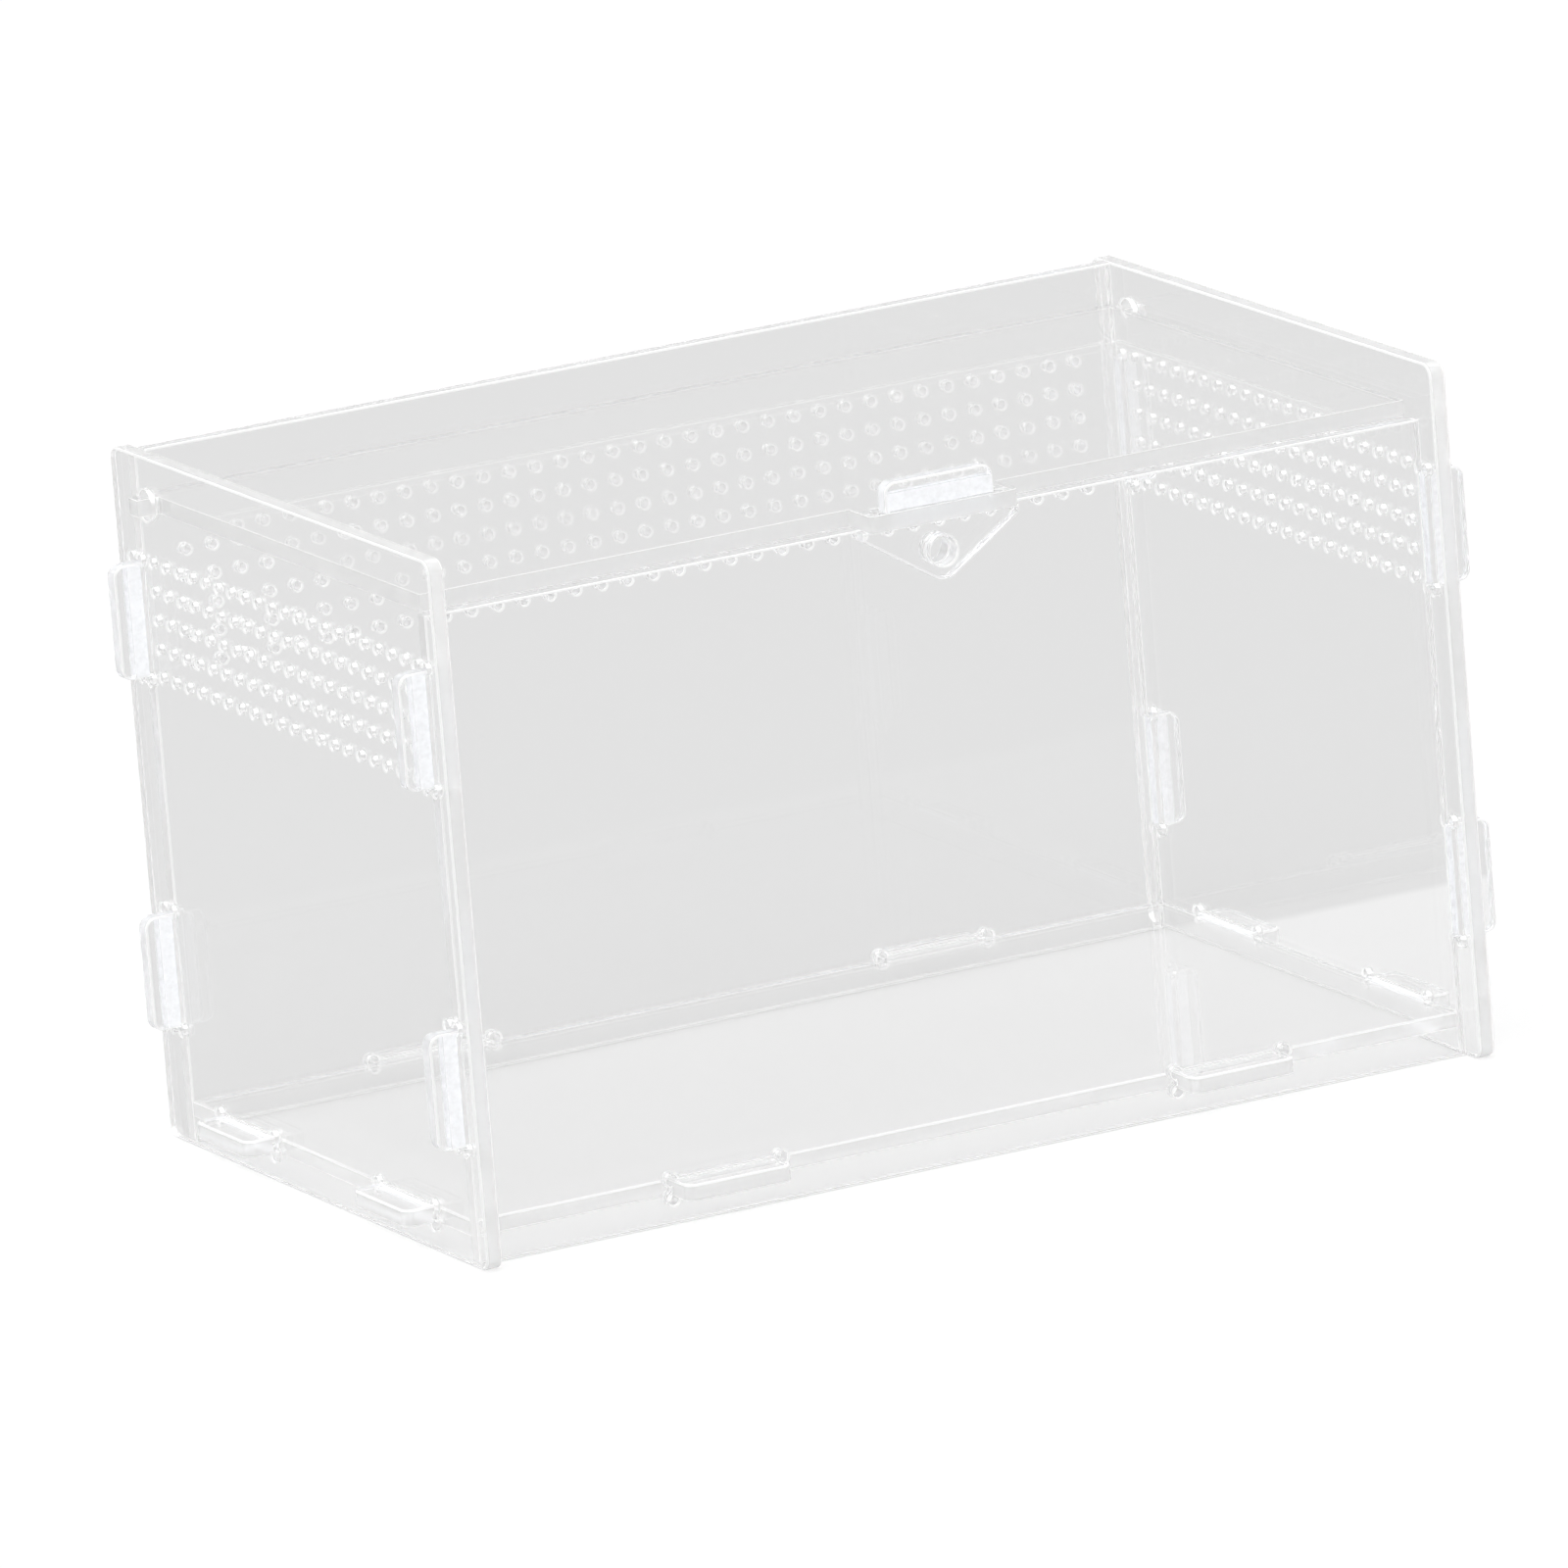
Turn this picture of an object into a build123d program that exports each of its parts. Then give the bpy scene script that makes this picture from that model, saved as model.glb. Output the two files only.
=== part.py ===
from build123d import *
import os

# Reptile breeding box of clear sheet, laser cut and held together by tabs in slots.
# Sizes are millimetres. The origin is at the middle of the footprint, on the surface the box stands on.
# +X runs along the length, +Y towards the back and +Z up.

os.makedirs("parts", exist_ok=True)

# Sheet and room inside
sheet = 3.0  # thickness of every panel
inner_length = 186.5  # between the end panels
inner_depth = 104.4  # between the front panel and the back panel
front_height = 111.2  # front panel, which is also the level of the lid's underside
lid_recess = 7.1  # from the lid's top up to the rim of the end and back panels
base_level = 4.5  # underside of the base above the table

# Edges that stand past a wall
overhang = 4.8  # end panels in front of the front panel and behind the back panel
rim_corner = 2.5  # rounded corners of the end panels

# Tabs and the slots they pass through
tab_length = 20.0
tab_proud = 4.8  # tab's end above the outer face it comes through
tab_corner = 2.0  # rounded corners of a tab's end
base_tab_spacing_x = 96.2  # the base's tabs through the front and back panels
base_tab_spacing_y = 60.0  # the base's tabs through the end panels
wall_tab_low = 30.5  # lower wall tab, height of its centre
wall_tab_drop = 19.2  # upper wall tab, its centre below the lid's underside
slot_end_gap = 0.4  # at each end of a tab
slot_side_gap = 0.1  # on each face of a tab
relief_radius = 1.0  # round relief at each corner of a slot

# Vent holes
vent_diameter = 1.5
vent_pitch = 5.0
vent_rows = 5
vent_drop = 8.5  # top row below the lid's underside
vent_margin_end = 4.5  # least distance from the walls to the first column in an end panel
vent_margin_back = 8.0  # the same in the back panel

# Lid and its hinge ears
lid_side_gap = 1.0
lid_front_gap = 0.4  # behind the front panel's rear face
lid_rear_gap = 0.6  # in front of the back panel
hinge_setback = 4.2  # hinge axis in front of the back panel
ear_width = 3.3
ear_proud = 2.0  # ear's end beyond the end panel's outer face
hinge_gap = 0.45  # round the ear's corners in the hinge hole

# Tongue of the lid and the latch plate pushed up through it
tongue_width = 28.0
tongue_inset = 0.2  # behind the front edges of the end panels
tongue_corner = 1.0
latch_gap = 0.2  # between the latch plate and the front panel
latch_tab_width = 20.5
latch_width = 29.6
latch_side = 1.4  # upright side of the plate, below the tongue
latch_drop = 11.1  # where the plate's two slopes would meet, below the tongue
latch_tip_radius = 3.5
lock_hole_drop = 5.5  # centre of the lock hole below the tongue
lock_hole_diameter = 5.0

# Places worked out from the sizes above
tab_reach = sheet + tab_proud
lid_top = front_height + sheet
rim_height = lid_top + lid_recess
end_depth = inner_depth + 2 * (sheet + overhang)
hinge_y = inner_depth / 2 - hinge_setback
hinge_z = front_height + sheet / 2
hinge_hole_radius = (ear_width**2 + sheet**2) ** 0.5 / 2 + hinge_gap
front_face_y = -inner_depth / 2 - sheet
latch_face_y = front_face_y - latch_gap - sheet
tongue_front_y = -end_depth / 2 + tongue_inset
lid_front_y = -inner_depth / 2 + lid_front_gap
lid_rear_y = inner_depth / 2 - lid_rear_gap
slot_long = tab_length + 2 * slot_end_gap
slot_thin = sheet + 2 * slot_side_gap
wall_tab_heights = (wall_tab_low, front_height - wall_tab_drop)
lock_hole_z = front_height - lock_hole_drop
vent_middle_z = front_height - vent_drop - vent_pitch * (vent_rows - 1) / 2


def relieved_slot(wide, high):
    """Cut a slot with a round relief at each corner from the sketch being drawn."""
    Rectangle(wide, high, mode=Mode.SUBTRACT)
    with GridLocations(wide, high, 2, 2):
        Circle(relief_radius, mode=Mode.SUBTRACT)


def vent_grid(span, margin):
    """Cut the vent holes, as many columns as the span between two walls holds."""
    columns = int((span - 2 * margin) / vent_pitch) + 1
    with Locations((0, vent_middle_z)):
        with GridLocations(vent_pitch, vent_pitch, columns, vent_rows):
            Circle(vent_diameter / 2, mode=Mode.SUBTRACT)


def wall_outline(wall, height):
    """Draw a wall that stands between the end panels, with its tabs and the slots for the base."""
    with Locations((0, height / 2)):
        Rectangle(inner_length, height)
    with Locations(*[(0, level) for level in wall_tab_heights]):
        Rectangle(inner_length + 2 * tab_reach, tab_length)
    tab_ends = wall.vertices().group_by(Axis.X)
    fillet(tab_ends[0] + tab_ends[-1], radius=tab_corner)
    with Locations((0, base_level + sheet / 2)):
        with GridLocations(base_tab_spacing_x, 1, 2, 1):
            relieved_slot(slot_long, slot_thin)


# The two end panels: slots for the base and for both walls, the hinge hole and the vents.
for side, face_x in (("left", -inner_length / 2 - sheet), ("right", inner_length / 2)):
    with BuildPart() as end_panel:
        with BuildSketch(Plane.YZ.offset(face_x)) as end_outline:
            with Locations((0, rim_height / 2)):
                Rectangle(end_depth, rim_height)
            fillet(end_outline.vertices(), radius=rim_corner)
            with Locations((0, base_level + sheet / 2)):
                with GridLocations(base_tab_spacing_y, 1, 2, 1):
                    relieved_slot(slot_long, slot_thin)
            for level in wall_tab_heights:
                with Locations((0, level)):
                    with GridLocations(inner_depth + sheet, 1, 2, 1):
                        relieved_slot(slot_thin, slot_long)
            with Locations((hinge_y, hinge_z)):
                Circle(hinge_hole_radius, mode=Mode.SUBTRACT)
            vent_grid(inner_depth, vent_margin_end)
        extrude(amount=sheet)
    end_panel.part.label = f"{side}_end_panel"
    export_step(end_panel.part, f"parts/{side}_end_panel.step")

# Front panel: the low wall, with the lock hole behind the latch plate's own.
with BuildPart() as front_panel:
    with BuildSketch(Plane.XZ.offset(-front_face_y)) as front_outline:
        wall_outline(front_outline, front_height)
        with Locations((0, lock_hole_z)):
            Circle(lock_hole_diameter / 2, mode=Mode.SUBTRACT)
    extrude(amount=-sheet)
front_panel.part.label = "front_panel"
export_step(front_panel.part, "parts/front_panel.step")

# Back panel: as high as the end panels, so that the open lid leans on its rim.
with BuildPart() as back_panel:
    with BuildSketch(Plane.XZ.offset(-inner_depth / 2)) as back_outline:
        wall_outline(back_outline, rim_height)
        vent_grid(inner_length, vent_margin_back)
    extrude(amount=-sheet)
back_panel.part.label = "back_panel"
export_step(back_panel.part, "parts/back_panel.step")

# Base: two tabs on each of its four edges.
with BuildPart() as base_panel:
    with BuildSketch(Plane.XY.offset(base_level)) as base_outline:
        Rectangle(inner_length, inner_depth)
        with GridLocations(base_tab_spacing_x, 1, 2, 1):
            Rectangle(tab_length, inner_depth + 2 * tab_reach)
        with GridLocations(1, base_tab_spacing_y, 1, 2):
            Rectangle(inner_length + 2 * tab_reach, tab_length)
        across = base_outline.vertices().group_by(Axis.X)
        along = base_outline.vertices().group_by(Axis.Y)
        fillet(across[0] + across[-1] + along[0] + along[-1], radius=tab_corner)
    extrude(amount=sheet)
base_panel.part.label = "base_panel"
export_step(base_panel.part, "parts/base_panel.step")

# Lid: a sheet with a hinge ear at each side and a slotted tongue over the front panel.
with BuildPart() as lid_panel:
    with BuildSketch(Plane.XY.offset(front_height)) as lid_outline:
        with Locations((0, (lid_front_y + lid_rear_y) / 2)):
            Rectangle(inner_length - 2 * lid_side_gap, lid_rear_y - lid_front_y)
        with Locations((0, hinge_y)):
            Rectangle(inner_length + 2 * (sheet + ear_proud), ear_width)
        with Locations((0, tongue_front_y)):
            Rectangle(tongue_width, lid_rear_y - tongue_front_y, align=(Align.CENTER, Align.MIN))
        fillet(lid_outline.vertices().group_by(Axis.Y)[0], radius=tongue_corner)
        with Locations((0, latch_face_y + sheet / 2)):
            relieved_slot(latch_tab_width + 2 * slot_end_gap, slot_thin)
    extrude(amount=sheet)
lid_panel.part.label = "lid_panel"
export_step(lid_panel.part, "parts/lid_panel.step")

# Latch plate: a tab up through the tongue, shoulders under it and a rounded V below with the lock hole.
with BuildPart() as latch_plate:
    with BuildSketch(Plane.XZ.offset(-latch_face_y)) as latch_outline:
        with BuildLine():
            Polyline(
                (0, front_height - latch_drop),
                (latch_width / 2, front_height - latch_side),
                (latch_width / 2, front_height),
                (latch_tab_width / 2, front_height),
                (latch_tab_width / 2, lid_top + tab_proud),
                (-latch_tab_width / 2, lid_top + tab_proud),
                (-latch_tab_width / 2, front_height),
                (-latch_width / 2, front_height),
                (-latch_width / 2, front_height - latch_side),
                close=True,
            )
        make_face()
        fillet(latch_outline.vertices().group_by(Axis.Y)[-1], radius=tab_corner)
        fillet(latch_outline.vertices().group_by(Axis.Y)[0], radius=latch_tip_radius)
        with Locations((0, lock_hole_z)):
            Circle(lock_hole_diameter / 2, mode=Mode.SUBTRACT)
    extrude(amount=-sheet)
latch_plate.part.label = "latch_plate"
export_step(latch_plate.part, "parts/latch_plate.step")
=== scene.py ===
"""Reptile breeding box of clear acrylic sheet: its finishes, its sheets, the studio and the camera.

Every sheet is built from the outline of its CAD node, with the small melted lip that a laser leaves along
each cut, and gets three finishes: the polished face, the lip and the cut edge. Lengths are in metres and
the frame is the CAD's: origin in the middle of the footprint, +X along the length, +Y to the back, +Z up.
"""

from __future__ import annotations

import logging
import math
from dataclasses import dataclass, field
from enum import Enum
from itertools import product
from typing import Any, Iterator, Mapping, Sequence

import bpy
from mathutils import Matrix, Vector
from mathutils.geometry import intersect_line_line_2d

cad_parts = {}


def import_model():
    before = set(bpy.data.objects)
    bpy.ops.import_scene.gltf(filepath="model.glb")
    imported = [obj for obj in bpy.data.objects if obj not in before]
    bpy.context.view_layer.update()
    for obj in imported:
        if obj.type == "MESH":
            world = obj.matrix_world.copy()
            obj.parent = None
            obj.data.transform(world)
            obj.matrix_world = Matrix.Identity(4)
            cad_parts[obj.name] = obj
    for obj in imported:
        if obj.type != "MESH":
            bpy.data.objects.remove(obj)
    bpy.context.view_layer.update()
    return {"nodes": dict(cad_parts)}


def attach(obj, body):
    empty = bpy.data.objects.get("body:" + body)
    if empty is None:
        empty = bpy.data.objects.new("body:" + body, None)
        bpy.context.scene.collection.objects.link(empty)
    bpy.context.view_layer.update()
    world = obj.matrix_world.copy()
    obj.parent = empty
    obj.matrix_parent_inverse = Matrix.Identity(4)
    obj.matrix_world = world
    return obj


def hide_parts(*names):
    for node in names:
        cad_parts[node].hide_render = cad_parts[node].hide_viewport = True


LOG = logging.getLogger("breeding_box")

MM = 0.001
ACRYLIC_IOR = 1.49

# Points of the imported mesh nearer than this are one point.
WELD_MM = 0.002
NO_SHIFT = Vector((0.0, 0.0))
# Keeps a very sharp corner of a rim from being set back too far.
LEAST_OPENING = 0.3
# How many points before and after a fold in a set-back rim its crossing is looked for, nearest first.
LONGEST_FOLD = 15
FOLD_REACHES = sorted(product(range(1, LONGEST_FOLD + 1), repeat=2), key=sum)
# A Mix node's sockets by number, because those for numbers and for colours share their names.
NUMBER_A = 2
NUMBER_B = 3
COLOUR_A = 6
COLOUR_B = 7
COLOUR_RESULT = 2
# Tells none from one in a count of bounces.
UNDER_ONE = 0.5

Place = tuple[float, float]
Point = tuple[float, float, float]
Corners = tuple[int, ...]


class Body(Enum):
    """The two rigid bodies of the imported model."""

    BOX = "box"
    LID = "lid"


class Normal(Enum):
    """The axis that a sheet's faces look along."""

    X = 0
    Y = 1
    Z = 2


class Surface(Enum):
    """Material slots of a sheet."""

    FACE = 0
    LIP = 1
    EDGE = 2


def linear(hex_colour: str) -> tuple[float, float, float, float]:
    """Turn an sRGB hex colour into linear values.

    Args:
        hex_colour: Six hex digits, red first.

    Returns:
        Linear red, green and blue, and full opacity.
    """
    channels = [int(hex_colour[i : i + 2], 16) / 255 for i in (0, 2, 4)]
    red, green, blue = (c / 12.92 if c <= 0.04045 else ((c + 0.055) / 1.055) ** 2.4 for c in channels)
    return red, green, blue, 1.0


def add_node(
    tree: bpy.types.NodeTree,
    kind: str,
    inputs: Mapping[str | int, Any] | None = None,
    links: Mapping[str | int, bpy.types.NodeSocket] | None = None,
    **settings: Any,
) -> bpy.types.Node:
    """Add a node with its settings, values and links.

    Args:
        tree: Node tree that the node goes into.
        kind: Blender's type name of the node.
        inputs: Values set on the node's own input sockets.
        links: Output sockets joined to the node's input sockets.
        **settings: Properties of the node itself.

    Returns:
        The new node.
    """
    node = tree.nodes.new(kind)
    for name, value in settings.items():
        setattr(node, name, value)
    for socket, value in (inputs or {}).items():
        node.inputs[socket].default_value = value
    for socket, source in (links or {}).items():
        tree.links.new(source, node.inputs[socket])
    return node


def empty_tree(owner: bpy.types.Material | bpy.types.World) -> bpy.types.NodeTree:
    """Switch an owner to nodes and clear what Blender puts there.

    Args:
        owner: Material or world.

    Returns:
        The owner's empty node tree.
    """
    owner.use_nodes = True
    owner.node_tree.nodes.clear()
    return owner.node_tree


@dataclass(frozen=True)
class ScuffAndHighlight:
    """Stretch of a sheet's tabs that rubbed through its slots, scuffed and given a painted highlight,
    between two distances from the origin.
    """

    along: Normal
    start_mm: float
    end_mm: float
    depth: float = 1.0
    blur_mm: float = 0.35


@dataclass(frozen=True)
class PolishedFace:
    """Cast acrylic sheet, polished face.

    Cast between glass plates, it is colourless, fully clear and mirror smooth. What gives it away is the
    slow waviness of cast sheet, which bends reflections by a hair, and the fine haze of handling. Tabs
    pushed through a tight slot get a cool white band next to it, partly scuffing and partly a painted
    highlight, with a painted glow that stands for the light the sheet pipes to its tabs.
    """

    name: str = "cast_acrylic_polished_face"
    scuffs_and_highlights: tuple[ScuffAndHighlight, ...] = ()
    colour: str = "FFFFFF"
    roughness: float = 0.0
    # Roughness in the middle of a smear, and the levels of its noise where a smear begins and is full.
    haze: float = 0.03
    smear_start: float = 0.45
    smear_full: float = 0.75
    smear_mm: float = 35.0
    wave_mm: float = 22.0
    wave_height_mm: float = 0.004
    scuff_and_highlight_colour: str = "FAFBFD"
    scuff_and_highlight_clarity: float = 0.2
    # Painted glow on the scuffed tabs: it stands for the light that the sheet pipes to its tabs.
    painted_tab_glow: float = 0.08
    # The grain thins a scuff and its painted highlight to this share where its noise is lowest.
    band_thinnest: float = 0.75
    grain_start: float = 0.2
    grain_full: float = 0.6
    band_grain_mm: float = 1.2

    def scuff_and_highlight_mask(self, tree: bpy.types.NodeTree, place: bpy.types.Node) -> bpy.types.NodeSocket:
        """Draw where the tabs are scuffed and carry a painted highlight.

        Args:
            tree: The material's node tree.
            place: Texture coordinates.

        Returns:
            Socket that is 0 on a clear face and up to 1 in a scuff with its painted highlight.
        """
        split = add_node(tree, "ShaderNodeSeparateXYZ", None, {0: place.outputs["Object"]})
        total = None
        for stretch in self.scuffs_and_highlights:
            away = add_node(
                tree, "ShaderNodeMath", None, {0: split.outputs[stretch.along.value]}, operation="ABSOLUTE"
            )
            ends = {}
            limits = ((stretch.start_mm, 0.0, 1.0), (stretch.end_mm, stretch.depth, 0.0))
            for number, (edge, before, after) in enumerate(limits):
                end = add_node(
                    tree,
                    "ShaderNodeMapRange",
                    {
                        "From Min": (edge - stretch.blur_mm / 2) * MM,
                        "From Max": (edge + stretch.blur_mm / 2) * MM,
                        "To Min": before,
                        "To Max": after,
                    },
                    {"Value": away.outputs[0]},
                )
                ends[number] = end.outputs["Result"]
            band = add_node(tree, "ShaderNodeMath", None, ends, operation="MULTIPLY")
            if total is not None:
                band = add_node(
                    tree,
                    "ShaderNodeMath",
                    None,
                    {0: total.outputs[0], 1: band.outputs[0]},
                    operation="MAXIMUM",
                )
            total = band
        grain = add_node(
            tree,
            "ShaderNodeTexNoise",
            {"Scale": 1 / (self.band_grain_mm * MM), "Detail": 2.0},
            {"Vector": place.outputs["Object"]},
        )
        patchiness = add_node(
            tree,
            "ShaderNodeMapRange",
            {
                "From Min": self.grain_start,
                "From Max": self.grain_full,
                "To Min": self.band_thinnest,
                "To Max": 1.0,
            },
            {"Value": grain.outputs["Fac"]},
        )
        scuff_and_highlight = add_node(
            tree,
            "ShaderNodeMath",
            None,
            {0: total.outputs[0], 1: patchiness.outputs["Result"]},
            operation="MULTIPLY",
        )
        return scuff_and_highlight.outputs[0]

    def material(self) -> bpy.types.Material:
        """Build the material.

        Returns:
            Clear, slightly wavy acrylic.
        """
        material = bpy.data.materials.new(self.name)
        tree = empty_tree(material)
        place = add_node(tree, "ShaderNodeTexCoord")
        smears = add_node(
            tree,
            "ShaderNodeTexNoise",
            {"Scale": 1 / (self.smear_mm * MM), "Detail": 4.0, "Roughness": 0.6},
            {"Vector": place.outputs["Object"]},
        )
        haze = add_node(
            tree,
            "ShaderNodeMapRange",
            {
                "From Min": self.smear_start,
                "From Max": self.smear_full,
                "To Min": self.roughness,
                "To Max": self.haze,
            },
            {"Value": smears.outputs["Fac"]},
        )
        waves = add_node(
            tree,
            "ShaderNodeTexNoise",
            {"Scale": 1 / (self.wave_mm * MM), "Detail": 1.0},
            {"Vector": place.outputs["Object"]},
        )
        relief = add_node(
            tree,
            "ShaderNodeBump",
            {"Strength": 1.0, "Distance": self.wave_height_mm * MM},
            {"Height": waves.outputs["Fac"]},
        )
        links = {"Roughness": haze.outputs["Result"], "Normal": relief.outputs["Normal"]}
        if self.scuffs_and_highlights:
            # The scuffs carry a painted highlight: a paler, less clear band that glows a little.
            scuff_and_highlight = self.scuff_and_highlight_mask(tree, place)
            tint = add_node(
                tree,
                "ShaderNodeMix",
                {COLOUR_A: linear(self.colour), COLOUR_B: linear(self.scuff_and_highlight_colour)},
                {"Factor": scuff_and_highlight},
                data_type="RGBA",
            )
            clarity = add_node(
                tree,
                "ShaderNodeMapRange",
                {"To Min": 1.0, "To Max": self.scuff_and_highlight_clarity},
                {"Value": scuff_and_highlight},
            )
            links["Base Color"] = tint.outputs[COLOUR_RESULT]
            links["Transmission Weight"] = clarity.outputs["Result"]
            # Painted glow of the scuffed tabs, standing for light piped to them.
            glow = add_node(tree, "ShaderNodeMath", {1: self.painted_tab_glow}, {0: scuff_and_highlight}, operation="MULTIPLY")
            links["Emission Strength"] = glow.outputs[0]
        shader = add_node(
            tree,
            "ShaderNodeBsdfPrincipled",
            {
                "Base Color": linear(self.colour),
                "IOR": ACRYLIC_IOR,
                "Transmission Weight": 1.0,
                "Emission Color": linear(self.scuff_and_highlight_colour),
            },
            links,
        )
        add_node(tree, "ShaderNodeOutputMaterial", links={"Surface": shader.outputs["BSDF"]})
        return material


@dataclass(frozen=True)
class CutEdge:
    """Cast acrylic sheet, laser-cut edge.

    The beam melts the edge to a gloss and leaves fine striations straight through the sheet. They scatter
    some of the light that the sheet pipes to its edges, so an edge looks paler than the face beside it.
    """

    name: str
    normal: Normal
    pale: str = "F7F7F7"
    dull: str = "F3F3F3"
    clarity: float = 0.6
    roughness: float = 0.12
    # Stands for the light that the sheet pipes to its edges.
    glow: float = 0.02
    # Real striations are about 0.1 mm apart, too fine for the picture, so they are drawn coarser.
    striation_mm: float = 0.7
    striation_depth_mm: float = 0.008

    def material(self) -> bpy.types.Material:
        """Build the material.

        Returns:
            Pale, striated, partly clear acrylic.
        """
        material = bpy.data.materials.new(self.name)
        tree = empty_tree(material)
        place = add_node(tree, "ShaderNodeTexCoord")
        along = [1 / (self.striation_mm * MM)] * 3
        along[self.normal.value] = 0.0
        stretched = add_node(
            tree, "ShaderNodeMapping", {"Scale": along}, {"Vector": place.outputs["Object"]}
        )
        striations = add_node(
            tree,
            "ShaderNodeTexNoise",
            {"Scale": 1.0, "Detail": 2.0},
            {"Vector": stretched.outputs["Vector"]},
        )
        tint = add_node(
            tree,
            "ShaderNodeMix",
            {COLOUR_A: linear(self.dull), COLOUR_B: linear(self.pale)},
            {"Factor": striations.outputs["Fac"]},
            data_type="RGBA",
        )
        relief = add_node(
            tree,
            "ShaderNodeBump",
            {"Strength": 1.0, "Distance": self.striation_depth_mm * MM},
            {"Height": striations.outputs["Fac"]},
        )
        shader = add_node(
            tree,
            "ShaderNodeBsdfPrincipled",
            {
                "IOR": ACRYLIC_IOR,
                "Transmission Weight": self.clarity,
                "Roughness": self.roughness,
                "Emission Color": linear(self.pale),
                "Emission Strength": self.glow,
            },
            {"Base Color": tint.outputs[COLOUR_RESULT], "Normal": relief.outputs["Normal"]},
        )
        add_node(tree, "ShaderNodeOutputMaterial", links={"Surface": shader.outputs["BSDF"]})
        return material


@dataclass(frozen=True)
class MeltedLip:
    """Cast acrylic sheet, melted lip of a laser cut.

    Where face and edge meet, the beam rounds the corner to a bright glossy line.
    """

    name: str = "cast_acrylic_melted_lip"
    pale: str = "F6F6F6"
    dull: str = "F1F1F1"
    clarity: float = 0.1
    roughness: float = 0.25
    # Stands for the light that the sheet pipes to its edges.
    glow: float = 0.1
    bead_mm: float = 1.5

    def material(self) -> bpy.types.Material:
        """Build the material.

        Returns:
            Pale acrylic with a soft gloss.
        """
        material = bpy.data.materials.new(self.name)
        tree = empty_tree(material)
        place = add_node(tree, "ShaderNodeTexCoord")
        beads = add_node(
            tree,
            "ShaderNodeTexNoise",
            {"Scale": 1 / (self.bead_mm * MM), "Detail": 1.0},
            {"Vector": place.outputs["Object"]},
        )
        tint = add_node(
            tree,
            "ShaderNodeMix",
            {COLOUR_A: linear(self.dull), COLOUR_B: linear(self.pale)},
            {"Factor": beads.outputs["Fac"]},
            data_type="RGBA",
        )
        shader = add_node(
            tree,
            "ShaderNodeBsdfPrincipled",
            {
                "IOR": ACRYLIC_IOR,
                "Transmission Weight": self.clarity,
                "Roughness": self.roughness,
                "Emission Color": linear(self.pale),
                "Emission Strength": self.glow,
            },
            {"Base Color": tint.outputs[COLOUR_RESULT]},
        )
        add_node(tree, "ShaderNodeOutputMaterial", links={"Surface": shader.outputs["BSDF"]})
        return material


@dataclass
class Workshop:
    """The finishes of the box, each made once and shared by all the sheets."""

    lip: MeltedLip = field(default_factory=MeltedLip)
    edges: dict[Normal, CutEdge] = field(
        default_factory=lambda: {
            n: CutEdge(f"cast_acrylic_laser_cut_edge_{n.name.lower()}", n) for n in Normal
        }
    )
    made: dict[str, bpy.types.Material] = field(default_factory=dict)

    def take(self, finish: PolishedFace | MeltedLip | CutEdge) -> bpy.types.Material:
        """Give a finish's material, made the first time it is asked for.

        Args:
            finish: One of the finishes.

        Returns:
            The shared material.
        """
        if finish.name not in self.made:
            self.made[finish.name] = finish.material()
        return self.made[finish.name]

    def dress(self, mesh: bpy.types.Mesh, face: PolishedFace, normal: Normal) -> None:
        """Put the three finishes of a sheet into a mesh's slots.

        Args:
            mesh: The sheet's mesh, whose faces already name a slot.
            face: Finish of the sheet's faces.
            normal: Axis that the sheet's faces look along.
        """
        for finish in (face, self.lip, self.edges[normal]):
            mesh.materials.append(self.take(finish))


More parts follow.
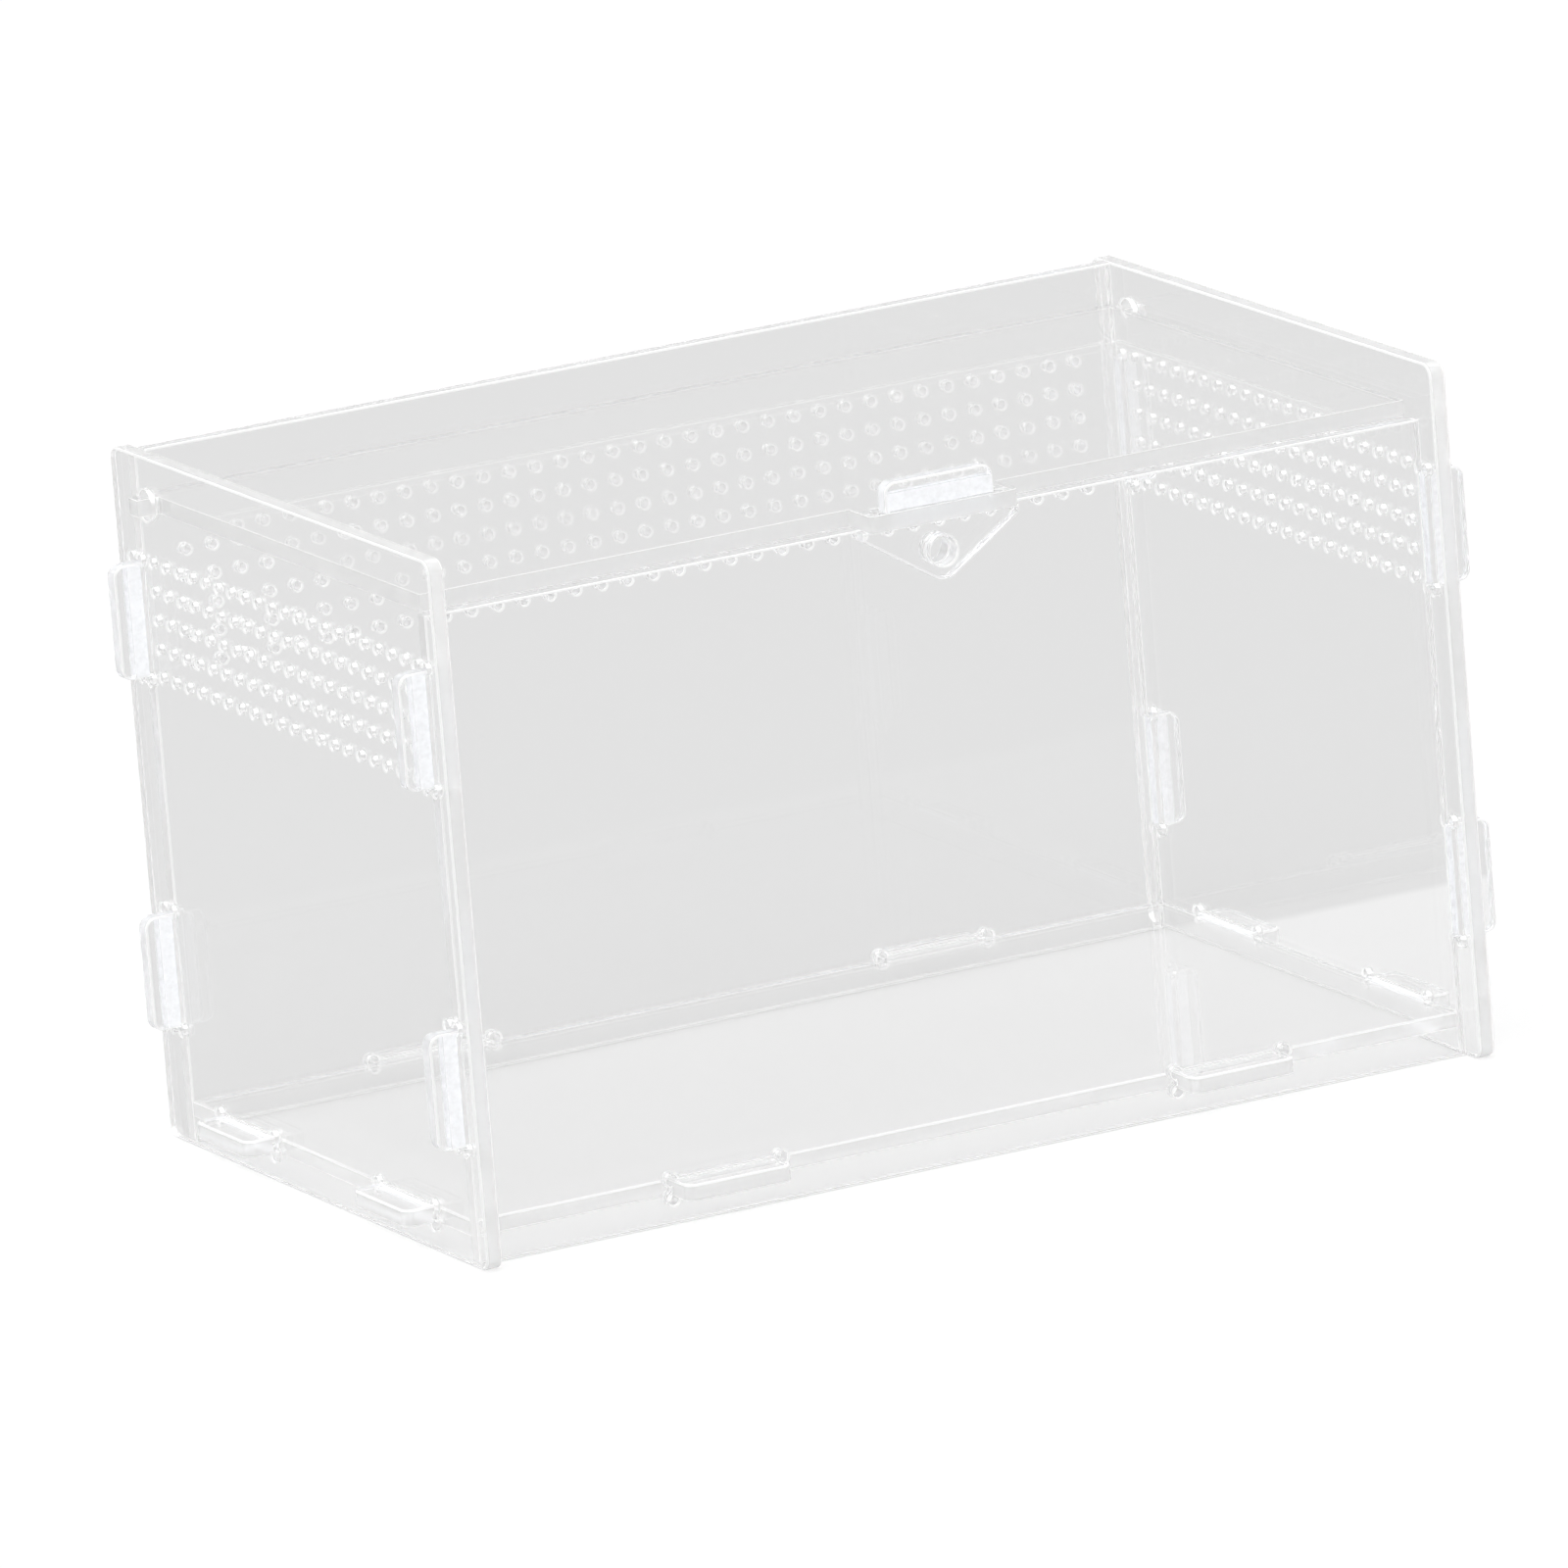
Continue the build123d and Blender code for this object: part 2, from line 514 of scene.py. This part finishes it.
@dataclass
class ClearSheet:
    """One laser-cut sheet, built from the outline of its CAD node."""

    node: str
    body: Body
    normal: Normal
    face: PolishedFace = PolishedFace()
    lip_mm: float = 0.35
    # Air left where an edge meets another sheet's face, so that light passes from one to the other.
    air_mm: float = 0.02

    def flat(self, point: Vector) -> Place:
        """Give a point's place in the sheet's own plane."""
        u, v = (self.normal.value + 1) % 3, (self.normal.value + 2) % 3
        return point[u], point[v]

    def raised(self, place: Place, level: float) -> Point:
        """Give the 3-D point at a place in the sheet's plane and a level through it."""
        axis = self.normal.value
        point = [0.0, 0.0, 0.0]
        point[axis], point[(axis + 1) % 3], point[(axis + 2) % 3] = level, *place
        return point[0], point[1], point[2]

    def cap(self, cad: bpy.types.Object) -> tuple[list[Place], list[Corners], float, float]:
        """Read the sheet's upper face from the CAD node.

        Args:
            cad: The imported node.

        Returns:
            Places of the face's points, its triangles, and the levels of the lower and upper face.
        """
        axis = self.normal.value
        points = [v.co.copy() for v in cad.data.vertices]
        low, high = min(p[axis] for p in points), max(p[axis] for p in points)
        places: list[Place] = []
        known: dict[tuple[int, int], int] = {}
        index: dict[int, int] = {}
        step = WELD_MM * MM
        for number, point in enumerate(points):
            if high - point[axis] < step:
                place = self.flat(point)
                key = (round(place[0] / step), round(place[1] / step))
                if key not in known:
                    known[key] = len(places)
                    places.append(place)
                index[number] = known[key]
        triangles = []
        for polygon in cad.data.polygons:
            if all(v in index for v in polygon.vertices):
                corners = tuple(index[v] for v in polygon.vertices)
                if len(set(corners)) == len(corners):
                    triangles.append(corners)
        return places, triangles, low, high

    @staticmethod
    def rims(triangles: Sequence[Corners]) -> dict[int, int]:
        """Find the rims of a face, with the material on the left.

        Args:
            triangles: The face's triangles, counter-clockwise.

        Returns:
            For each point on a rim, the next one.
        """
        edges = {(a, b) for t in triangles for a, b in zip(t, t[1:] + t[:1])}
        return {a: b for a, b in edges if (b, a) not in edges}

    @staticmethod
    def inward(places: Sequence[Place], following: Mapping[int, int]) -> dict[int, Vector]:
        """Find the way into the material at each point on a rim.

        Args:
            places: Places of the points.
            following: For each point on a rim, the next one.

        Returns:
            For each point on a rim, the shift that sets both its edges back by one.
        """
        before = {b: a for a, b in following.items()}
        shifts = {}
        for here, after in following.items():
            sides = []
            for a, b in ((before[here], here), (here, after)):
                run = Vector(places[b]) - Vector(places[a])
                sides.append(Vector((-run.y, run.x)).normalized())
            shifts[here] = (sides[0] + sides[1]) / max(1 + sides[0].dot(sides[1]), LEAST_OPENING)
        return shifts

    @staticmethod
    def loops(following: Mapping[int, int]) -> list[list[int]]:
        """Sort the points on the rims into closed loops.

        Args:
            following: For each point on a rim, the next one.

        Returns:
            Points of each rim, in order.
        """
        left = dict(following)
        found = []
        while left:
            here, after = left.popitem()
            loop = [here]
            while after in left:
                loop.append(after)
                after = left.pop(after)
            found.append(loop)
        return found

    @staticmethod
    def untangle(
        loop: Sequence[int], places: Sequence[Vector], moved: list[Vector], back: float
    ) -> dict[int, int]:
        """Pull a set-back rim tight where a corner has overtaken the short arc beside it.

        Args:
            loop: Points of one rim, in order.
            places: Place of every point on the rim itself.
            moved: Place of every point after the set-back, corrected here.
            back: The set-back, and how far the runs on both sides of a fold may be drawn on to meet.

        Returns:
            For each point that now shares its place, the point it shares it with.
        """
        count = len(loop)
        shared: dict[int, int] = {}
        for fold in range(count):
            a, b = loop[fold], loop[(fold + 1) % count]
            if (moved[b] - moved[a]).dot(places[b] - places[a]) >= 0:
                continue
            for before, after in FOLD_REACHES:
                run = [loop[(fold + step) % count] for step in range(-before, after + 2)]
                start, turn, leave, end = (moved[i] for i in (run[0], run[1], run[-2], run[-1]))
                turn = turn + (turn - start).normalized() * back
                leave = leave + (leave - end).normalized() * back
                crossing = intersect_line_line_2d(start, turn, leave, end)
                if crossing is not None:
                    for point in run[1:-1]:
                        moved[point] = crossing
                        shared[point] = run[1]
                    break
        return shared

    def profile(self, low: float, high: float) -> list[tuple[float, float]]:
        """List the rings that run round every rim.

        Args:
            low: Level of the lower face.
            high: Level of the upper face.

        Returns:
            For each ring from the upper to the lower face, its set-back and its level.
        """
        lip, air = self.lip_mm * MM, self.air_mm * MM
        # The middle of the lip's quarter round is this near to both of its sides.
        near = lip * (1 - math.sin(math.radians(45)))
        upper = [(air + lip, high), (air + near, high - near), (air, high - lip)]
        return upper + [(back, low + high - level) for back, level in reversed(upper)]

    def rings(
        self, places: Sequence[Place], following: Mapping[int, int], low: float, high: float
    ) -> tuple[list[Point], list[list[int]]]:
        """Lay the rings from the upper face to the lower, with the faces' inner points in each.

        Args:
            places: Places of the upper face's points.
            following: For each point on a rim, the next one.
            low: Level of the lower face.
            high: Level of the upper face.

        Returns:
            All the points, and for each ring the numbers of the points that stand for the places.
        """
        flat = [Vector(place) for place in places]
        loops = self.loops(following)
        shifts = self.inward(places, following)
        points: list[Point] = []
        rings: list[list[int]] = []
        for back, level in self.profile(low, high):
            moved = [place + shifts.get(number, NO_SHIFT) * back for number, place in enumerate(flat)]
            shared: dict[int, int] = {}
            for loop in loops:
                shared.update(self.untangle(loop, flat, moved, back))
            first = len(points)
            rings.append([first + shared.get(number, number) for number in range(len(moved))])
            points += [self.raised((place.x, place.y), level) for place in moved]
        return points, rings

    @staticmethod
    def skin(
        triangles: Sequence[Corners], following: Mapping[int, int], rings: Sequence[Sequence[int]]
    ) -> list[tuple[Corners, Surface]]:
        """Close the sheet with its two faces and with a band from each ring to the next.

        Args:
            triangles: The upper face's triangles.
            following: For each point on a rim, the next one.
            rings: Numbers of the points in each ring, from the upper face to the lower.

        Returns:
            Corners and slot of each face of the mesh, without those that folds have closed up.
        """
        top, bottom = rings[0], rings[-1]
        drafts = [(tuple(top[i] for i in corners), Surface.FACE) for corners in triangles]
        drafts += [(tuple(bottom[i] for i in reversed(corners)), Surface.FACE) for corners in triangles]
        wall = len(rings) // 2 - 1
        for number, (upper, lower) in enumerate(zip(rings, rings[1:])):
            surface = Surface.EDGE if number == wall else Surface.LIP
            drafts += [((upper[a], lower[a], lower[b], upper[b]), surface) for a, b in following.items()]
        distinct = [(tuple(dict.fromkeys(corners)), surface) for corners, surface in drafts]
        return [(corners, surface) for corners, surface in distinct if len(corners) > 2]

    def build(self, cad: bpy.types.Object, workshop: Workshop) -> bpy.types.Object:
        """Build the sheet with rounded lips and dress it.

        Args:
            cad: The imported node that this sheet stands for.
            workshop: Finishes to dress it with.

        Returns:
            The finished sheet, riding on its body.
        """
        places, triangles, low, high = self.cap(cad)
        following = self.rims(triangles)
        points, rings = self.rings(places, following, low, high)
        skin = self.skin(triangles, following, rings)
        used = sorted({number for corners, _ in skin for number in corners})
        place_of = {number: place for place, number in enumerate(used)}
        faces = [tuple(place_of[number] for number in corners) for corners, _ in skin]
        mesh = bpy.data.meshes.new(f"{self.node}_sheet")
        mesh.from_pydata([points[number] for number in used], [], faces)
        mesh.polygons.foreach_set("material_index", [surface.value for _, surface in skin])
        mesh.polygons.foreach_set("use_smooth", [surface is not Surface.FACE for _, surface in skin])
        self.keep_corners(mesh)
        mesh.validate()
        workshop.dress(mesh, self.face, self.normal)
        piece = bpy.data.objects.new(f"{self.node}_sheet", mesh)
        bpy.context.scene.collection.objects.link(piece)
        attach(piece, self.body.value)
        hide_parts(self.node)
        return piece

    @staticmethod
    def keep_corners(mesh: bpy.types.Mesh, sharpest: float = 35.0) -> None:
        """Mark the mesh edges between two finishes, and those that turn by more than an angle, as sharp.

        A cut is smooth only along its run. Smoothed across it, a wall seen at a glance would go black.

        Args:
            mesh: The sheet's mesh.
            sharpest: Angle in degrees up to which an edge is shaded smooth.
        """
        mesh.update()
        owners: dict[tuple[int, int], list[int]] = {}
        for polygon in mesh.polygons:
            for key in polygon.edge_keys:
                owners.setdefault(key, []).append(polygon.index)
        limit = math.cos(math.radians(sharpest))
        flags = []
        for edge in mesh.edges:
            pair = owners[edge.key]
            one, other = mesh.polygons[pair[0]], mesh.polygons[pair[-1]]
            turned = one.normal.dot(other.normal) < limit
            flags.append(turned or one.material_index != other.material_index)
        sharp = mesh.attributes.new("sharp_edge", "BOOLEAN", "EDGE")
        sharp.data.foreach_set("value", flags)


# Each tab scuff below also carries a painted highlight and glow.
WALL_FACE = PolishedFace(
    "cast_acrylic_polished_face_end_tabs",
    scuffs_and_highlights=(ScuffAndHighlight(Normal.X, start_mm=93.4, end_mm=98.6),),
)
BASE_FACE = PolishedFace(
    "cast_acrylic_polished_face_base_tabs",
    # The base's tabs are clear outside the walls, and scuffed with a painted highlight only inside the
    # slots.
    scuffs_and_highlights=(
        ScuffAndHighlight(Normal.X, start_mm=93.4, end_mm=96.1),
        ScuffAndHighlight(Normal.Y, start_mm=52.4, end_mm=55.1, depth=0.2),
    ),
    # A stronger painted glow makes the base's tabs paler inside the slots.
    painted_tab_glow=0.2,
)
LATCH_FACE = PolishedFace(
    "cast_acrylic_polished_face_latch_tab",
    scuffs_and_highlights=(ScuffAndHighlight(Normal.Z, start_mm=111.5, end_mm=117.2),),
)


@dataclass
class Assembly:
    """Sheets that move as one."""

    sheets: tuple[ClearSheet, ...]

    def build(self, nodes: Mapping[str, bpy.types.Object], workshop: Workshop) -> Iterator[bpy.types.Object]:
        """Build the sheets one by one.

        Args:
            nodes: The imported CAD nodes.
            workshop: Finishes to dress the sheets with.

        Yields:
            Each finished sheet.
        """
        for sheet in self.sheets:
            yield sheet.build(nodes[sheet.node], workshop)


@dataclass
class BoxWalls(Assembly):
    """The fixed part: two end panels, front, back and base, held together by tabs in slots."""

    sheets: tuple[ClearSheet, ...] = (
        ClearSheet("left_end_panel", Body.BOX, Normal.X),
        ClearSheet("right_end_panel", Body.BOX, Normal.X),
        ClearSheet("front_panel", Body.BOX, Normal.Y, WALL_FACE),
        ClearSheet("back_panel", Body.BOX, Normal.Y, WALL_FACE),
        ClearSheet("base_panel", Body.BOX, Normal.Z, BASE_FACE),
    )


@dataclass
class HingedLid(Assembly):
    """The moving part: the lid with its ears and tongue, and the latch plate pushed up through it."""

    sheets: tuple[ClearSheet, ...] = (
        # The reliefs of the tongue's slot leave 0.3 mm to its front edge, so the lips here are narrow.
        ClearSheet("lid_panel", Body.LID, Normal.Z, lip_mm=0.1),
        ClearSheet("latch_plate", Body.LID, Normal.Y, LATCH_FACE),
    )


@dataclass
class Studio:
    """Pale floor, white surroundings and soft light."""

    floor_size: float = 16.0
    floor_colour: str = "DFDFDF"
    floor_lift: float = 0.27
    # Share of the lift that a sheet mirrors, so that its faces stay as clear as the photograph's.
    floor_mirrored: float = 0.2
    board_lift: float = 0.14
    board_from: tuple[float, float] = (-0.12, -0.09)
    board_to: tuple[float, float] = (0.24, 0.0515)
    board_blur: float = 0.004
    surroundings: str = "FFFFFF"
    # Strength of the surroundings as a light, and as the sheets show them at eye level and overhead.
    ambient: float = 0.95
    backdrop: float = 0.77
    ceiling: float = 2.4
    # Height on a sphere of radius 1 where the backdrop starts to brighten, and where the ceiling is full.
    backdrop_top: float = 0.3
    ceiling_edge: float = 0.7
    box_way: tuple[float, float, float] = (-0.45, -0.35, 1.0)
    # Width of the soft box as an angle in degrees.
    box_width: float = 40.0
    box_power: float = 0.3
    bounces: int = 96
    diffuse_bounces: int = 48

    def floor(self) -> bpy.types.Object:
        """Lay the floor: matt pale paper, lifted to white where it is seen directly.

        Returns:
            The floor.
        """
        half = self.floor_size / 2
        mesh = bpy.data.meshes.new("studio_floor")
        corners = [(-half, -half, 0.0), (half, -half, 0.0), (half, half, 0.0), (-half, half, 0.0)]
        mesh.from_pydata(corners, [], [(0, 1, 2, 3)])
        material = bpy.data.materials.new("matt_paper_floor")
        tree = empty_tree(material)
        paths = add_node(tree, "ShaderNodeLightPath")
        direct = add_node(
            tree,
            "ShaderNodeMath",
            {1: self.floor_mirrored},
            {0: paths.outputs["Is Glossy Ray"], 2: paths.outputs["Is Camera Ray"]},
            operation="MULTIPLY_ADD",
        )
        lifted = add_node(
            tree,
            "ShaderNodeMath",
            {1: self.floor_lift},
            {0: direct.outputs[0]},
            operation="MULTIPLY",
        )
        board = self.board(tree)
        strength = add_node(
            tree,
            "ShaderNodeMix",
            None,
            {
                0: paths.outputs["Is Transmission Ray"],
                NUMBER_A: lifted.outputs[0],
                NUMBER_B: board.outputs[0],
            },
            data_type="FLOAT",
        )
        paper = add_node(
            tree, "ShaderNodeBsdfDiffuse", {"Color": linear(self.floor_colour), "Roughness": 0.0}
        )
        lift = add_node(
            tree,
            "ShaderNodeEmission",
            {"Color": linear(self.surroundings)},
            {"Strength": strength.outputs["Result"]},
        )
        both = add_node(
            tree, "ShaderNodeAddShader", None, {0: paper.outputs["BSDF"], 1: lift.outputs["Emission"]}
        )
        add_node(tree, "ShaderNodeOutputMaterial", links={"Surface": both.outputs["Shader"]})
        mesh.materials.append(material)
        floor = bpy.data.objects.new("studio_floor", mesh)
        bpy.context.scene.collection.objects.link(floor)
        return floor

    def board(self, tree: bpy.types.NodeTree) -> bpy.types.Node:
        """Draw the white board that the box stands on, which shows only through the sheets.

        Args:
            tree: The floor's node tree.

        Returns:
            Node whose output is the board's lift, and nothing beyond the board.
        """
        place = add_node(tree, "ShaderNodeTexCoord")
        split = add_node(tree, "ShaderNodeSeparateXYZ", None, {0: place.outputs["Object"]})
        inside = None
        for axis, (low, high) in enumerate(zip(self.board_from, self.board_to)):
            for limit, blur in ((low, self.board_blur), (high, -self.board_blur)):
                side = add_node(
                    tree,
                    "ShaderNodeMapRange",
                    {"From Min": limit - blur / 2, "From Max": limit + blur / 2},
                    {"Value": split.outputs[axis]},
                )
                if inside is not None:
                    side = add_node(
                        tree,
                        "ShaderNodeMath",
                        None,
                        {0: inside.outputs[0], 1: side.outputs["Result"]},
                        operation="MULTIPLY",
                    )
                inside = side
        return add_node(
            tree, "ShaderNodeMath", {1: self.board_lift}, {0: inside.outputs[0]}, operation="MULTIPLY"
        )

    def world(self) -> None:
        """Set the surroundings: white wherever they are seen, softer as a light."""
        world = bpy.data.worlds.new("white_studio")
        bpy.context.scene.world = world
        tree = empty_tree(world)
        paths = add_node(tree, "ShaderNodeLightPath")
        direct = add_node(
            tree,
            "ShaderNodeMath",
            None,
            {0: paths.outputs["Is Camera Ray"], 1: paths.outputs["Is Glossy Ray"]},
            operation="MAXIMUM",
        )
        clear = add_node(
            tree,
            "ShaderNodeMath",
            None,
            {0: direct.outputs[0], 1: paths.outputs["Is Transmission Ray"]},
            operation="MAXIMUM",
        )
        # A path that has met a matt surface even once carries light, and no picture of the surroundings.
        unscattered = add_node(
            tree,
            "ShaderNodeMath",
            {1: UNDER_ONE},
            {0: paths.outputs["Diffuse Depth"]},
            operation="LESS_THAN",
        )
        seen = add_node(
            tree,
            "ShaderNodeMath",
            None,
            {0: clear.outputs[0], 1: unscattered.outputs[0]},
            operation="MULTIPLY",
        )
        way = add_node(tree, "ShaderNodeTexCoord")
        split = add_node(tree, "ShaderNodeSeparateXYZ", None, {0: way.outputs["Generated"]})
        backdrop = add_node(
            tree,
            "ShaderNodeMapRange",
            {
                "From Min": self.backdrop_top,
                "From Max": self.ceiling_edge,
                "To Min": self.backdrop,
                "To Max": self.ceiling,
            },
            {"Value": split.outputs["Z"]},
        )
        lit = add_node(
            tree,
            "ShaderNodeMix",
            {NUMBER_A: self.ambient},
            {0: seen.outputs[0], NUMBER_B: backdrop.outputs["Result"]},
            data_type="FLOAT",
        )
        strength = add_node(
            tree,
            "ShaderNodeMix",
            {NUMBER_B: 1.0},
            {0: paths.outputs["Is Camera Ray"], NUMBER_A: lit.outputs["Result"]},
            data_type="FLOAT",
        )
        glow = add_node(
            tree,
            "ShaderNodeBackground",
            {"Color": linear(self.surroundings)},
            {"Strength": strength.outputs["Result"]},
        )
        add_node(tree, "ShaderNodeOutputWorld", links={"Surface": glow.outputs["Background"]})

    def soft_box(self) -> None:
        """Hang one soft box so large and far away that the floor is lit evenly."""
        light = bpy.data.lights.new("overhead_soft_box", "SUN")
        light.angle = math.radians(self.box_width)
        light.energy = self.box_power
        lamp = bpy.data.objects.new("overhead_soft_box", light)
        lamp.matrix_world = (-Vector(self.box_way)).to_track_quat("-Z", "Y").to_matrix().to_4x4()
        bpy.context.scene.collection.objects.link(lamp)

    def build(self) -> None:
        """Set up the whole studio."""
        self.floor()
        self.world()
        self.soft_box()
        scene = bpy.context.scene
        scene.view_settings.view_transform = "Standard"
        # Light runs the whole length of a sheet from edge to edge, reflected every few millimetres.
        scene.cycles.max_bounces = self.bounces
        scene.cycles.transmission_bounces = self.bounces
        scene.cycles.glossy_bounces = self.bounces
        scene.cycles.diffuse_bounces = self.diffuse_bounces
        # Without this, light that has passed through the sheets is blurred away and the floor goes dark.
        scene.cycles.blur_glossy = 0.0


@dataclass
class PhotoCamera:
    """The camera, standing where the photograph was taken from."""

    place: tuple[float, float, float] = (-1.54100, -3.07093, 0.89959)
    # Degrees turned from +Y towards +X, tilted up and rolled, from a fit to the photograph.
    yaw: float = 26.5861
    pitch: float = -13.8058
    roll: float = -4.7167
    lens_mm: float = 479.048
    sensor_mm: float = 36.0
    # Farthest distance that is drawn.
    sight: float = 50.0

    def build(self) -> bpy.types.Object:
        """Build the camera and make it the scene's own.

        Returns:
            The camera.
        """
        yaw, pitch, roll = (math.radians(a) for a in (self.yaw, self.pitch, self.roll))
        ahead = Vector((math.sin(yaw) * math.cos(pitch), math.cos(yaw) * math.cos(pitch), math.sin(pitch)))
        level = ahead.cross(Vector((0, 0, 1))).normalized()
        upright = level.cross(ahead)
        right = math.cos(roll) * level + math.sin(roll) * upright
        up = -math.sin(roll) * level + math.cos(roll) * upright
        data = bpy.data.cameras.new("photo_camera")
        data.lens = self.lens_mm
        data.sensor_width = self.sensor_mm
        data.clip_end = self.sight
        camera = bpy.data.objects.new("photo_camera", data)
        turn = Matrix((right, up, -ahead)).transposed().to_4x4()
        camera.matrix_world = Matrix.Translation(self.place) @ turn
        bpy.context.scene.collection.objects.link(camera)
        bpy.context.scene.camera = camera
        return camera


def main() -> None:
    """Load the frame, build the box, the studio and the camera, and report each piece."""
    logging.basicConfig(level=logging.INFO, format="%(name)s: %(message)s")
    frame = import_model()
    workshop = Workshop()
    for assembly in (BoxWalls(), HingedLid()):
        for piece in assembly.build(frame["nodes"], workshop):
            LOG.info("%s: %d faces", piece.name, len(piece.data.polygons))
    Studio().build()
    PhotoCamera().build()


if __name__ == "__main__":
    main()
